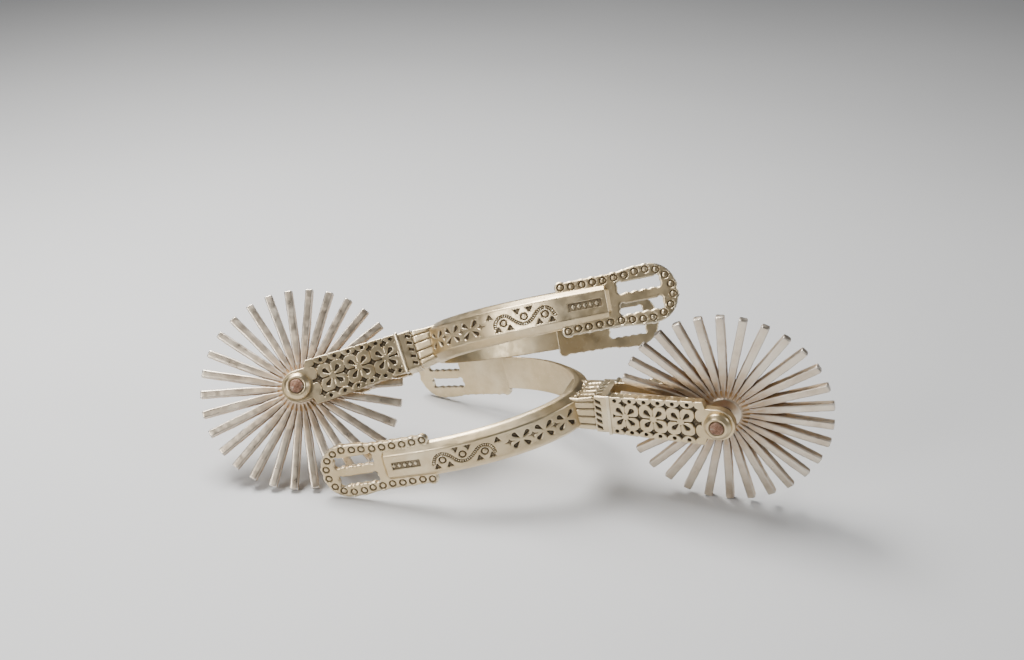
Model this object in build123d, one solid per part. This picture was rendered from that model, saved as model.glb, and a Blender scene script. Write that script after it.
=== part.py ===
from build123d import *
import os
from math import sin, cos, pi, hypot, sqrt, radians, degrees

# ---------------------------------------------------------------------------
# A pair of long-shanked spurs with thirty-spike rowels.
# Units are millimetres, +Z is up, Z = 0 is the surface the pair rests on.
# Each spur is drawn in a frame of its own: rowel centre near the origin, +X
# from the rowel towards the open end of the heel band, Y along the rowel pin,
# +Z up when worn.  It is then set in its resting place.
# ---------------------------------------------------------------------------

# --- rowel (spiked wheel) -----------------------------------------------------
ROWEL_R = 47.5          # tip radius
SPIKES = 30             # spikes, 12 degrees apart
SPIKE_W_TIP = 3.2       # width of a spike round the wheel, at its tip
SPIKE_W_ROOT = 2.4      # the same where it leaves the web
SPIKE_T_TIP = 3.4       # thickness of a spike along the pin, at its tip
SPIKE_T_ROOT = 4.4      # the same at the web
WEB_R = 16.5            # radius of the solid web
WEB_T = 4.6             # thickness of the web
HUB_R = 7.8             # hub disc radius
HUB_T = 6.4             # hub length along the pin
PIN_R = 2.5             # pin radius
BORE_R = 3.3            # the rowel is loose on its pin

# --- fork: neck and two cheeks --------------------------------------------------
CHEEK_X0 = 6.0          # end of the rectangular cheek panel, from the pin
RIB_X = 50.0            # raised rib at the root of the cheeks
RIB_W = 1.8
CHEEK_H0 = 10.6         # half height of the panel at the pin end
CHEEK_H1 = 9.3          # half height of the panel at the rib
CHEEK_Y0 = 11.4         # outer half width at the pin end
CHEEK_Y1 = 9.3          # outer half width at the rib
GAP_Y0 = 7.2            # half gap between the cheeks at the pin end
GAP_Y1 = 4.6            # half gap at the closed end
GAP_END_X = 48.2        # centre of the rounded closed end
LOBE_R = 7.4            # rounded lobe of each cheek round the pin
COLLAR_X = 56.8         # the rope-punched collar runs from the rib to here
COLLAR_Y, COLLAR_H = 9.0, 9.1
NECK_Y0, NECK_H0 = 8.7, 8.6   # fluted ferrule at the collar
NECK_Y1, NECK_H1 = 9.8, 7.6   # fluted ferrule at the band
SHANK_PIVOT_X = 66.0    # where the shank turns down from the plane of the band
SHANK_DROOP = 0.138     # radians, about 8 degrees

# --- pin and bosses ---------------------------------------------------------------
BOSS_R = 6.3
BOSS_Y0, BOSS_Y1 = 10.6, 14.8   # span of a boss along the pin (its inner end is
                                # trimmed to the cheek)
BOSS_CH = 1.0
PIN_HEAD_R = 3.4
PIN_END = 15.7          # crown of the peened head

# --- heel band ----------------------------------------------------------------------
XI = 68.6               # inner apex of the band, from the pin
BEZ_A = 15.1            # handle of the plan curve at the apex
BEZ_B = 22.9            # handle of the plan curve at the arm
W_MID = 38.2
XE = 127.6              # the curved part of an arm ends here
W_END = 43.3            # inner half width there
T0, T1 = 6.2, 3.9       # thickness at the apex and at the arm end
HI0, HI1 = 9.5, 8.4     # inner face half height
HO0, HO1 = 6.1, 5.1     # outer face half height
ARM_END_X = 144.5       # end of the raised arm, on top of the strap plate

# --- strap plates ---------------------------------------------------------------------
PLATE_X0 = 120.7
PLATE_X1 = 173.9
PLATE_H = 13.2          # half height
PLATE_T = 2.3
PLATE_R = 9.5           # corner radius at the free end
PLATE_R0 = 4.5          # corner radius at the arm end
SLOT_X0, SLOT_X1 = 148.2, 166.4
SLOT_GAP = 4.0          # bar between the two slots
SLOT_H = 5.5
SLOT_HOLE_R = 1.3       # small drilled hole at each slot corner

# --- resting places: position of the rowel-end frame and its rotation vector --------
# arms = sideways set of the -Y and +Y arm; shank = roll, droop, yaw set of the shank;
# rowel = tilt about X and Z and shift along the pin, within its play;
# level = last small turn that settles the spur on the surface or on its fellow;
# reach = how much farther than the first spur's its plates sit from the heel.
FRONT = dict(tag="front", pos=(90.939, -45.136, 55.762), rot=(-0.05040, -0.26214, -0.37691),
             level=(0.0, 0.0, 0.0), turn=True, arms=(-3.05, 5.3),
             shank=(-0.0200, -0.0027, 0.0208), rowel=(-0.083, 0.070, -2.6), phase=-0.18131, reach=0.0)
REAR = dict(tag="rear", pos=(-100.576, 0.040, 45.246), rot=(-0.56165, -0.15707, 0.06577),
            level=(0.0, -0.028, -0.031), turn=False, arms=(0.15, 1.64),
            shank=(-0.0146, -0.0076, -0.0044), rowel=(-0.078, 0.040, -0.8), phase=-0.36185, reach=2.2)


# ---------------------------------------------------------------------------
# small helpers
# ---------------------------------------------------------------------------
def rot_matrix(v):
    a = sqrt(v[0] ** 2 + v[1] ** 2 + v[2] ** 2)
    if a < 1e-12:
        return [[1, 0, 0], [0, 1, 0], [0, 0, 1]]
    x, y, z = v[0] / a, v[1] / a, v[2] / a
    c, s, t = cos(a), sin(a), 1 - cos(a)
    return [[t * x * x + c, t * x * y - s * z, t * x * z + s * y],
            [t * x * y + s * z, t * y * y + c, t * y * z - s * x],
            [t * x * z - s * y, t * y * z + s * x, t * z * z + c]]


def mat_mul(a, b):
    return [[sum(a[i][k] * b[k][j] for k in range(3)) for j in range(3)] for i in range(3)]


def placed(matrix, origin):
    return Plane(origin=origin, x_dir=(matrix[0][0], matrix[1][0], matrix[2][0]),
                 z_dir=(matrix[0][2], matrix[1][2], matrix[2][2])).location


def one_solid(shape):
    found = shape.solids()
    found = sorted(found, key=lambda q: q.volume, reverse=True)
    return found[0]


# ---------------------------------------------------------------------------
# heel band
# ---------------------------------------------------------------------------
P0, P1, P2, P3 = (XI, 0.0), (XI, BEZ_A), (XI + BEZ_B, W_MID), (XE, W_END)


def arm_set(spec, side):
    # what tells one arm from another: its sideways set and its reach
    return spec["arms"][0 if side < 0 else 1], spec["reach"]


def spring(x, arm):
    # sideways set of an arm: grows smoothly, then runs straight under the plate
    k = arm[0]
    x1 = min(x, PLATE_X0)
    u = max(x1 - XI, 0.0) / 80.0
    y = k * u ** 1.5
    if x > PLATE_X0:
        y += k * 1.5 * sqrt(u) / 80.0 * (x - PLATE_X0)
    return y


def plan_curve(t, reach=0.0):
    # t in 0..1 along the curve, above 1 along the straight arm end (x reaches ARM_END_X at 2)
    if t <= 1.0:
        b = [(1 - t) ** 3, 3 * (1 - t) ** 2 * t, 3 * (1 - t) * t * t, t ** 3]
        return tuple(b[0] * P0[i] + b[1] * P1[i] + b[2] * P2[i] + b[3] * P3[i] for i in (0, 1))
    k = (t - 1.0) * (ARM_END_X + reach - XE) / (P3[0] - P2[0])
    return tuple(P3[i] + k * (P3[i] - P2[i]) for i in (0, 1))


def arm_point(t, side, k):
    x, y = plan_curve(t, k[1])
    return x, side * (y + spring(x, k))


def arm_frame(t, side, k):
    e = 1e-3
    a = arm_point(max(t - e, 0.0), side, k)
    b = arm_point(t + e, side, k)
    if t < e:
        d = (0.0, 1.0 * side)
    else:
        d = (b[0] - a[0], b[1] - a[1])
        n = hypot(*d)
        d = (d[0] / n, d[1] / n)
    nrm = (-d[1] * side, d[0] * side)      # outwards
    return arm_point(t, side, k), d, nrm


def arc_fraction(t, reach):
    n = 60
    tot, part = 0.0, 0.0
    last = plan_curve(0)
    for i in range(1, n + 1):
        q = plan_curve(2.0 * i / n, reach)
        step = hypot(q[0] - last[0], q[1] - last[1])
        tot += step
        if 2.0 * i / n <= t + 1e-9:
            part += step
        last = q
    return part / tot


def band_section(t, side, k):
    p, d, nrm = arm_frame(t, side, k)
    f = arc_fraction(t, k[1])
    th = T0 + (T1 - T0) * f
    hi = HI0 + (HI1 - HI0) * f
    ho = HO0 + (HO1 - HO0) * f
    prof = [(0, -hi), (0, hi), (0.38 * th, hi - 0.5), (th, ho), (th, -ho), (0.38 * th, -hi + 0.5)]
    if side < 0:
        pass
    pts = [(p[0] + nrm[0] * o, p[1] + nrm[1] * o, z) for o, z in prof]
    return Wire.make_polygon([Vector(*q) for q in pts], close=True)


def plate_plane(side, k):
    a = arm_point(1.0, side, k)
    b = arm_point(2.0, side, k)
    d = (b[0] - a[0], b[1] - a[1])
    n = hypot(*d)
    d = (d[0] / n, d[1] / n)
    nrm = (-d[1] * side, d[0] * side)
    o = (a[0] - d[0] * (a[0] - 0.0) / d[0], a[1] - d[1] * (a[0] - 0.0) / d[0])  # at x = 0
    return Plane(origin=(o[0], o[1], 0), x_dir=(d[0], d[1], 0), z_dir=(nrm[0], nrm[1], 0)), d


def strap_plate(side, k):
    plane, d = plate_plane(side, k)
    s = 1.0 / d[0]
    x0, x1 = (PLATE_X0 + k[1]) * s, (PLATE_X1 + k[1]) * s
    slot0, slot1 = (SLOT_X0 + k[1]) * s, (SLOT_X1 + k[1]) * s
    with BuildPart() as bp:
        with BuildSketch(plane):
            with Locations(((x0 + x1) / 2, 0)):
                Rectangle(x1 - x0, 2 * PLATE_H)
        extrude(amount=PLATE_T)
        ends = bp.edges().filter_by(Axis(origin=(0, 0, 0), direction=tuple(plane.z_dir)))
        ends = ends.sort_by(Axis(origin=(0, 0, 0), direction=(1, 0, 0)))
        fillet(ends[-2:], PLATE_R)
        ends = bp.edges().filter_by(Axis(origin=(0, 0, 0), direction=tuple(plane.z_dir)))
        ends = ends.sort_by(Axis(origin=(0, 0, 0), direction=(1, 0, 0)))
        fillet(ends[:2], PLATE_R0)
        with BuildSketch(plane):
            for sg in (1, -1):
                zc = sg * (SLOT_GAP / 2 + SLOT_H / 2)
                with Locations(((slot0 + slot1) / 2, zc)):
                    RectangleRounded(slot1 - slot0, SLOT_H, 0.9)
                for cx in (slot0 + 1.1, slot1 - 1.1):
                    for cz in (zc - SLOT_H / 2 + 1.0, zc + SLOT_H / 2 - 1.0):
                        with Locations((cx, cz)):
                            Circle(SLOT_HOLE_R)
        extrude(amount=PLATE_T, mode=Mode.SUBTRACT)
    return one_solid(bp.part)


def plate_bed(side, k):
    # the space just inside a strap plate, so that the arm is pared flush with its plate
    plane, d = plate_plane(side, k)
    s = 1.0 / d[0]
    x0, x1 = (PLATE_X0 + k[1]) * s - 0.4, (PLATE_X1 + k[1]) * s
    with BuildPart() as bp:
        with BuildSketch(plane):
            with Locations(((x0 + x1) / 2, 0)):
                Rectangle(x1 - x0, 2 * PLATE_H + 2)
        extrude(amount=-4)
    return one_solid(bp.part)


def heel_band(spec, plates):
    arms = [arm_set(spec, -1), arm_set(spec, 1)]
    ts = [2.0, 1.6, 1.2, 1.0, 0.85, 0.7, 0.55, 0.42, 0.3, 0.2, 0.1]
    wires = [band_section(t, -1, arms[0]) for t in ts]
    wires.append(band_section(0.0, 1, arms[1]))
    wires += [band_section(t, 1, arms[1]) for t in reversed(ts)]
    band = Solid.make_loft(wires, ruled=False)
    for p in plates:
        band = band - p
    for side in (-1, 1):
        band = band - plate_bed(side, arms[0 if side < 0 else 1])
    return one_solid(band)


# ---------------------------------------------------------------------------
# fork, pin, bosses, rowel (all in the shank's own frame)
# ---------------------------------------------------------------------------
def fork():
    slope = (CHEEK_Y1 - CHEEK_Y0) / (RIB_X - CHEEK_X0)
    xa = -LOBE_R - 0.5
    ya = CHEEK_Y0 + slope * (xa - CHEEK_X0)
    gslope = (GAP_Y1 - GAP_Y0) / (GAP_END_X - CHEEK_X0)
    ga = GAP_Y0 + gslope * (xa - 2 - CHEEK_X0)
    x_end = XI + 4
    upper = [(xa, ya), (RIB_X - RIB_W / 2, CHEEK_Y1), (RIB_X - RIB_W / 2, CHEEK_Y1 + 0.5),
             (RIB_X + RIB_W / 2, CHEEK_Y1 + 0.5), (RIB_X + RIB_W / 2, COLLAR_Y),
             (COLLAR_X, COLLAR_Y), (COLLAR_X, NECK_Y0), (XI - 4.5, NECK_Y1), (x_end, NECK_Y1)]
    lower = [(x, -y) for x, y in reversed(upper)]
    with BuildPart() as plan:
        with BuildSketch(Plane.XY.offset(-20)):
            with BuildLine():
                Polyline(*upper, *lower, close=True)
            make_face()
            with BuildLine():
                Polyline((xa - 2, ga), (GAP_END_X, GAP_Y1), (GAP_END_X, -GAP_Y1), (xa - 2, -ga), close=True)
            make_face(mode=Mode.SUBTRACT)
            with Locations((GAP_END_X, 0)):
                Circle(GAP_Y1, mode=Mode.SUBTRACT)
        extrude(amount=40)
    with BuildPart() as side:
        with BuildSketch(Plane.XZ.offset(-20)):
            with BuildLine():
                up = [(CHEEK_X0, CHEEK_H0), (RIB_X - RIB_W / 2, CHEEK_H1),
                      (RIB_X - RIB_W / 2, CHEEK_H1 + 0.5), (RIB_X + RIB_W / 2, CHEEK_H1 + 0.5),
                      (RIB_X + RIB_W / 2, COLLAR_H), (COLLAR_X, COLLAR_H), (COLLAR_X, NECK_H0),
                      (XI - 4.5, NECK_H1), (x_end, NECK_H1)]
                Polyline(*up, *[(x, -z) for x, z in reversed(up)], close=True)
            make_face()
            with Locations((0, 0)):
                Circle(LOBE_R)
            with Locations((CHEEK_X0 / 2, 0)):
                Rectangle(CHEEK_X0, 2 * LOBE_R * 0.98)
        extrude(amount=40)
    body = plan.part & side.part
    hole = Cylinder(PIN_R + 0.02, 60, rotation=(90, 0, 0))
    body = body - hole
    return one_solid(body)


def rowel():
    half = pi / SPIKES
    with BuildPart() as bp:
        Cylinder(WEB_R, WEB_T, rotation=(90, 0, 0))
        Cylinder(HUB_R, HUB_T, rotation=(90, 0, 0))
    solid = bp.part
    # one spike: a tapered bar from inside the web to the tip, slightly bevelled at the tip
    x0, x1 = WEB_R - 2.5, ROWEL_R
    bev = 0.5
    def sec(x, w, t):
        return Wire.make_polygon([Vector(x, -t / 2, -w / 2), Vector(x, t / 2, -w / 2),
                                  Vector(x, t / 2, w / 2), Vector(x, -t / 2, w / 2)], close=True)
    bar = Solid.make_loft([sec(x0, SPIKE_W_ROOT, SPIKE_T_ROOT), sec(x1 - bev, SPIKE_W_TIP, SPIKE_T_TIP)], ruled=True)
    tip = Solid.make_loft([sec(x1 - bev, SPIKE_W_TIP, SPIKE_T_TIP), sec(x1, SPIKE_W_TIP - 0.8, SPIKE_T_TIP - 0.8)], ruled=True)
    spike = bar + tip
    spikes = [spike.rotate(Axis.Y, 360.0 / SPIKES * i) for i in range(SPIKES)]
    solid = solid + spikes
    solid = solid - Cylinder(BORE_R, 40, rotation=(90, 0, 0))
    return one_solid(solid)


def pin():
    h = BOSS_Y1 + 0.25
    with BuildPart() as bp:
        with BuildSketch(Plane.XY):
            with BuildLine():
                # each head is crowned in three short bevels round a small flat
                Polyline((0, -PIN_END), (1.1, -PIN_END), (2.1, -PIN_END + 0.17), (2.9, -PIN_END + 0.42),
                         (PIN_HEAD_R, -h), (PIN_HEAD_R, -BOSS_Y1), (PIN_R, -BOSS_Y1), (PIN_R, BOSS_Y1),
                         (PIN_HEAD_R, BOSS_Y1), (PIN_HEAD_R, h), (2.9, PIN_END - 0.42), (2.1, PIN_END - 0.17),
                         (1.1, PIN_END), (0, PIN_END), close=True)
            make_face()
        revolve(axis=Axis.Y)
    return one_solid(bp.part)


def boss(side, fork_solid):
    with BuildPart() as bp:
        with BuildSketch(Plane.XY):
            with BuildLine():
                Polyline((PIN_R + 0.02, side * BOSS_Y0), (BOSS_R, side * BOSS_Y0), (BOSS_R, side * (BOSS_Y1 - BOSS_CH)),
                         (BOSS_R - BOSS_CH, side * BOSS_Y1), (PIN_R + 0.02, side * BOSS_Y1), close=True)
            make_face()
        revolve(axis=Axis.Y)
    return one_solid(bp.part - fork_solid)


# ---------------------------------------------------------------------------
# one spur, set in its resting place
# ---------------------------------------------------------------------------
def build_spur(spec, lift=(0.0, 0.0, 0.0)):
    m = mat_mul(rot_matrix(spec["level"]), rot_matrix(spec["rot"]))
    if spec["turn"]:
        m = mat_mul(m, [[-1, 0, 0], [0, -1, 0], [0, 0, 1]])
    where = placed(m, tuple(a + b for a, b in zip(spec["pos"], lift)))
    roll, droop, yaw = spec["shank"]
    f = rot_matrix((roll, -SHANK_DROOP + droop, yaw))
    piv = SHANK_PIVOT_X
    shank_at = placed(f, (piv - f[0][0] * piv, -f[1][0] * piv, -f[2][0] * piv))
    w1, w2, off = spec["rowel"]
    r = rot_matrix((w1, 0.0, w2))
    rowel_at = placed(r, (0, off, 0))

    plates = {s: strap_plate(s, arm_set(spec, s)) for s in (-1, 1)}
    band = heel_band(spec, plates.values())
    fk = fork()
    fk_in = one_solid(fk.moved(shank_at) - band - plates[-1] - plates[1])
    bosses = {s: boss(s, fk) for s in (-1, 1)}
    phase = degrees(spec["phase"]) + 90.0
    # a spike's angle is measured from +X towards +Z
    rw = rowel().rotate(Axis.Y, -phase)
    near = 1 if spec["turn"] else -1
    t = spec["tag"]
    out = {
        t + "_heel_band": band.moved(where),
        t + "_near_strap_plate": plates[near].moved(where),
        t + "_far_strap_plate": plates[-near].moved(where),
        t + "_rowel_fork": fk_in.moved(where),
        t + "_rowel": rw.moved(where * shank_at * rowel_at),
        t + "_rowel_pin": pin().moved(where * shank_at),
        t + "_near_pin_boss": bosses[near].moved(where * shank_at),
        t + "_far_pin_boss": bosses[-near].moved(where * shank_at),
    }
    rl = (where * shank_at * rowel_at)
    centre = rl * Location((0, 0, 0))
    axis_end = rl * Location((0, 1, 0))
    c, e = centre.position, axis_end.position
    print(t, "rowel centre", [round(q, 4) for q in (c.X, c.Y, c.Z)], "axis",
          [round(q, 6) for q in (e.X - c.X, e.Y - c.Y, e.Z - c.Z)])
    return out


nodes = {}
nodes.update(build_spur(FRONT))
nodes.update(build_spur(REAR))

# the pair is centred on its own footprint and set down on Z = 0
box = Compound(list(nodes.values())).bounding_box()
shift = (-(box.min.X + box.max.X) / 2, -(box.min.Y + box.max.Y) / 2, -box.min.Z)
print("shift", [round(q, 4) for q in shift], "box", [round(q, 3) for q in (box.size.X, box.size.Y, box.size.Z)])
for name in list(nodes):
    s = nodes[name].moved(Location(shift))
    nodes[name] = s
    b = s.bounding_box()
    print("%-26s vol %9.2f  z %7.3f .. %7.3f  valid %s" % (name, s.volume, b.min.Z, b.max.Z, s.is_valid))

if __name__ == "__main__":
    os.makedirs("parts", exist_ok=True)
    for name, s in nodes.items():
        s.label = name
        export_step(s, "parts/" + name + ".step")
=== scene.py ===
"""Looks for a pair of long-shanked spurs: carved cast bands, forks and strap plates, filed steel rowels."""
import math
import bpy
import bmesh
import numpy as np
from mathutils import Vector, Matrix


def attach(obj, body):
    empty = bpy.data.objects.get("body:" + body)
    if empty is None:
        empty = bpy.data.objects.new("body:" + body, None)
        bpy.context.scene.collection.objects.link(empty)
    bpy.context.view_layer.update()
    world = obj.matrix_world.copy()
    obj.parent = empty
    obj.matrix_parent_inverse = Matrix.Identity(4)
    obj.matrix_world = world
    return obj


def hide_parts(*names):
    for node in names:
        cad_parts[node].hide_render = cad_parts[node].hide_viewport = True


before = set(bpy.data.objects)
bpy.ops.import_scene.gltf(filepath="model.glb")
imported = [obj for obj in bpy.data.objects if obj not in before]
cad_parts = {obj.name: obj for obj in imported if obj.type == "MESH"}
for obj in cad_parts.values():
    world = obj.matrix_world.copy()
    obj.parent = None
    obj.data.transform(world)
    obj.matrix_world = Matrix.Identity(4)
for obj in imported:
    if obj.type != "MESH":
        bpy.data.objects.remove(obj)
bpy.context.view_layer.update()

# ---------------------------------------------------------------------------
# resting places of the two spurs (millimetres); the same frames the CAD uses:
# world = m (f p + tf) + t for a shank, m p + t for a band, R p + c for a rowel
# ---------------------------------------------------------------------------
SPURS = {
    "front": dict(
        near=1, arms={-1: (-3.05, 0.0), 1: (5.3, 0.0)}, phase=-0.18131 + math.pi / 2, seed=3,
        m=[[-0.896470924, -0.370141208, -0.243588525], [0.35716255, -0.928975498, 0.097156762],
           [-0.262249492, 9.7514e-05, 0.965000101]],
        t=[93.747182, -47.379954, 56.359246],
        f=[[0.989902811, -0.019323977, -0.140424388], [0.022133142, 0.999584395, 0.018470541],
           [0.140009103, -0.021392073, 0.989919103]],
        tf=[0.666414, -1.460787, -9.240601],
        R=[[-0.951360174, -0.270341735, -0.147746965], [0.280164801, -0.958653765, -0.049906348],
           [-0.128146416, -0.088872411, 0.987765251]],
        c=[96.844741, -44.245006, 47.307399], frame_body="root", wheel_body="front_rowel_body"),
    "rear": dict(
        near=-1, arms={-1: (0.15, 2.2), 1: (1.64, 2.2)}, phase=-0.36185 + math.pi / 2, seed=11,
        m=[[0.984658194, 0.021966975, -0.173106018], [0.074368004, 0.84460597, 0.530198223],
           [0.157853227, -0.534937574, 0.830014548]],
        t=[-97.767818, -2.203954, 45.843246],
        f=[[0.989409575, 0.005445283, -0.145048414], [-0.003323317, 0.999883947, 0.014867653],
           [0.145112539, -0.014228157, 0.989312848]],
        tf=[0.698968, 0.219339, -9.577428],
        R=[[0.949957825, 0.01620324, -0.311957667], [0.18022522, 0.787254113, 0.589703172],
           [0.255145058, -0.616415782, 0.744937972]],
        c=[-95.440676, -7.714549, 38.323504], frame_body="rear_frame", wheel_body="rear_rowel_body"),
}
for S in SPURS.values():
    for key in ("m", "t", "f", "tf", "R", "c"):
        S[key] = np.array(S[key], float)


# ---------------------------------------------------------------------------
# mesh helpers
# ---------------------------------------------------------------------------
def smooth(x):
    x = np.clip(x, 0.0, 1.0)
    return x * x * (3 - 2 * x)


def wobble(a, b, seed, scale=1.0):
    """Smooth, repeatable unevenness of about -1..1, from a few crossed waves."""
    r = np.random.RandomState(seed)
    out = np.zeros(np.broadcast(a, b).shape)
    for i in range(7):
        fa, fb = r.uniform(-1, 1, 2) * scale * (0.35 + 0.4 * i)
        out = out + np.sin(a * fa + b * fb + r.uniform(0, 6.28)) / (1 + 0.5 * i)
    return out / 2.6


def tube_faces(ns, nr, cap=True):
    i = np.arange(ns - 1)[:, None]
    j = np.arange(nr)[None, :]
    a = i * nr + j
    b = i * nr + (j + 1) % nr
    quads = np.stack([a, b, b + nr, a + nr], -1).reshape(-1, 4).tolist()
    if cap:
        quads.append(list(range(nr)))
        quads.append([(ns - 1) * nr + q for q in range(nr)][::-1])
    return quads


class Shell:
    """Gathers closed shells into one mesh, with the depth of the cuts at each point; on some pieces that value carries
    painted shade instead.
    """

    def __init__(self):
        self.v, self.f, self.cut, self.tone = [], [], [], []
        self.n = 0

    def add(self, verts, faces, cut=None, tone=None):
        verts = np.asarray(verts, float).reshape(-1, 3)
        self.v.append(verts)
        self.f += [[q + self.n for q in face] for face in faces] if self.n else faces
        self.cut.append(np.zeros(len(verts)) if cut is None else np.asarray(cut, float).reshape(-1))
        self.tone.append(np.zeros(len(verts)) if tone is None else np.asarray(tone, float).reshape(-1))
        self.n += len(verts)

    def build(self, name, transform, node, body, material, angle=38):
        v = np.concatenate(self.v)
        v = transform(v) * 0.001
        mesh = bpy.data.meshes.new(name)
        mesh.from_pydata(v.tolist(), [], self.f)
        mesh.update()
        bm = bmesh.new()
        bm.from_mesh(mesh)
        bmesh.ops.recalc_face_normals(bm, faces=bm.faces)
        bm.to_mesh(mesh)
        bm.free()
        n = len(v)
        cut = mesh.attributes.new("cut", "FLOAT", "POINT")
        cut.data.foreach_set("value", np.concatenate(self.cut).astype(np.float32))
        tone = mesh.attributes.new("tone", "FLOAT", "POINT")
        tone.data.foreach_set("value", np.concatenate(self.tone).astype(np.float32))
        # hollows and ridges, from how each point sits against its neighbours; the materials paint the hollows darker,
        # as painted shade along with the patina and rust
        e = np.zeros(len(mesh.edges) * 2, np.int32)
        mesh.edges.foreach_get("vertices", e)
        e = e.reshape(-1, 2)
        nor = np.zeros(n * 3, np.float32)
        mesh.vertices.foreach_get("normal", nor)
        nor = nor.reshape(-1, 3)
        co = v * 1000.0
        d = co[e[:, 1]] - co[e[:, 0]]
        ln = np.maximum(np.linalg.norm(d, axis=1), 1e-6)
        k0 = np.einsum("ij,ij->i", d, nor[e[:, 0]]) / ln
        k1 = -np.einsum("ij,ij->i", d, nor[e[:, 1]]) / ln
        acc = np.bincount(e[:, 0], k0, n) + np.bincount(e[:, 1], k1, n)
        cnt = np.bincount(e[:, 0], minlength=n) + np.bincount(e[:, 1], minlength=n)
        bend = acc / np.maximum(cnt, 1)
        for _ in range(2):
            acc = np.bincount(e[:, 0], bend[e[:, 1]], n) + np.bincount(e[:, 1], bend[e[:, 0]], n)
            bend = 0.5 * bend + 0.5 * acc / np.maximum(cnt, 1)
        hollow = mesh.attributes.new("hollow", "FLOAT", "POINT")
        hollow.data.foreach_set("value", np.clip(bend * 3.2, 0, 1).astype(np.float32))
        ridge = mesh.attributes.new("ridge", "FLOAT", "POINT")
        ridge.data.foreach_set("value", np.clip(-bend * 3.2, 0, 1).astype(np.float32))
        mesh.polygons.foreach_set("use_smooth", [True] * len(mesh.polygons))
        mesh.set_sharp_from_angle(angle=math.radians(angle))
        mesh.materials.append(material)
        obj = bpy.data.objects.new(name, mesh)
        bpy.context.scene.collection.objects.link(obj)
        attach(obj, body)
        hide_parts(node)
        return obj


# --- outlines of the punched and cut ornament: signed distances in mm, below 0 inside ---
def d_dot(x, z, cx, cz, r):
    return np.hypot(x - cx, z - cz) - r


def d_oval(x, z, cx, cz, rx, rz):
    q = np.hypot((x - cx) / rx, (z - cz) / rz)
    return (q - 1) * min(rx, rz)


def d_tear(x, z, cx, cz, ang, r0, r1, rad, power=0.75):
    ca, sa = math.cos(ang), math.sin(ang)
    t = (x - cx) * ca + (z - cz) * sa
    w = -(x - cx) * sa + (z - cz) * ca
    tc = np.clip(t, r0, r1)
    return np.hypot(t - tc, w) - rad * ((tc - r0) / (r1 - r0)) ** power


def d_star(x, z, cx, cz, rx, rz, p=0.6):
    q = (np.abs((x - cx) / rx) ** p + np.abs((z - cz) / rz) ** p) ** (1 / p)
    return (q - 1) * min(rx, rz) * 0.42


def d_bar(x, z, x0, z0, x1, z1, r):
    dx, dz = x1 - x0, z1 - z0
    t = np.clip(((x - x0) * dx + (z - z0) * dz) / (dx * dx + dz * dz), 0, 1)
    return np.hypot(x - x0 - t * dx, z - z0 - t * dz) - r


def d_box(x, z, cx, cz, hx, hz, r=0.0):
    qx, qz = np.abs(x - cx) - hx + r, np.abs(z - cz) - hz + r
    return np.hypot(np.maximum(qx, 0), np.maximum(qz, 0)) + np.minimum(np.maximum(qx, qz), 0) - r


def carve(h, d, depth, wall=0.42):
    return np.maximum(h, depth * smooth(-d / wall))


def d_path(x, z, pts):
    best = np.full(np.shape(x), 1e9)
    along = np.zeros(np.shape(x))
    run = 0.0
    for (x0, z0), (x1, z1) in zip(pts[:-1], pts[1:]):
        dx, dz = x1 - x0, z1 - z0
        ln = math.hypot(dx, dz)
        t = np.clip(((x - x0) * dx + (z - z0) * dz) / (ln * ln), 0, 1)
        d = np.hypot(x - x0 - t * dx, z - z0 - t * dz)
        hit = d < best
        best = np.where(hit, d, best)
        along = np.where(hit, run + t * ln, along)
        run += ln
    return best, along


def ring_punch(h, x, z, cx, cz, r=1.42, w=0.44, depth=0.62):
    d = np.hypot(x - cx, z - cz)
    h = np.maximum(h, depth * smooth((w - np.abs(d - r)) / 0.3 + 0.15))
    # the little boss inside a ring punch is domed
    return np.where(d < r - w, np.maximum(h, 0.12 * smooth(d / (r - w))), h)


def tulip(h, x, z, cx, zb, zt, half, depth=0.72):
    """A palmette punch: a point at zt, spreading to a base of three lobes at zb."""
    up = 1.0 if zt > zb else -1.0
    u = (z - zb) * up
    tall = abs(zt - zb)
    k = np.clip(u / tall, 0, 1)
    width = half * (0.14 + 0.9 * (1 - k) ** 1.05)
    d = np.maximum(np.abs(x - cx) - width, np.maximum(-u, u - tall)) * 0.8
    for q in (-0.62, 0.0, 0.62):
        d = np.maximum(d, -(np.hypot(x - cx - q * half, u + 0.12) - 0.27 * half))
    return carve(h, d, depth, 0.3)


# ---------------------------------------------------------------------------
# heel band
# ---------------------------------------------------------------------------
XI, XE, W_END = 68.6, 127.6, 43.3
B0, B1, B2, B3 = [np.array(q) for q in ((XI, 0.0), (XI, 15.1), (91.5, 38.2), (XE, W_END))]
ARM_END, PLATE_X0, PLATE_X1, PLATE_T = 144.5, 120.7, 173.9, 2.3


def set_out(x, arm):
    k = arm[0]
    x1 = np.minimum(x, PLATE_X0)
    u = np.maximum(x1 - XI, 0) / 80.0
    return k * u ** 1.5 + np.where(x > PLATE_X0, k * 1.5 * np.sqrt(u) / 80.0 * (x - PLATE_X0), 0)


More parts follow.
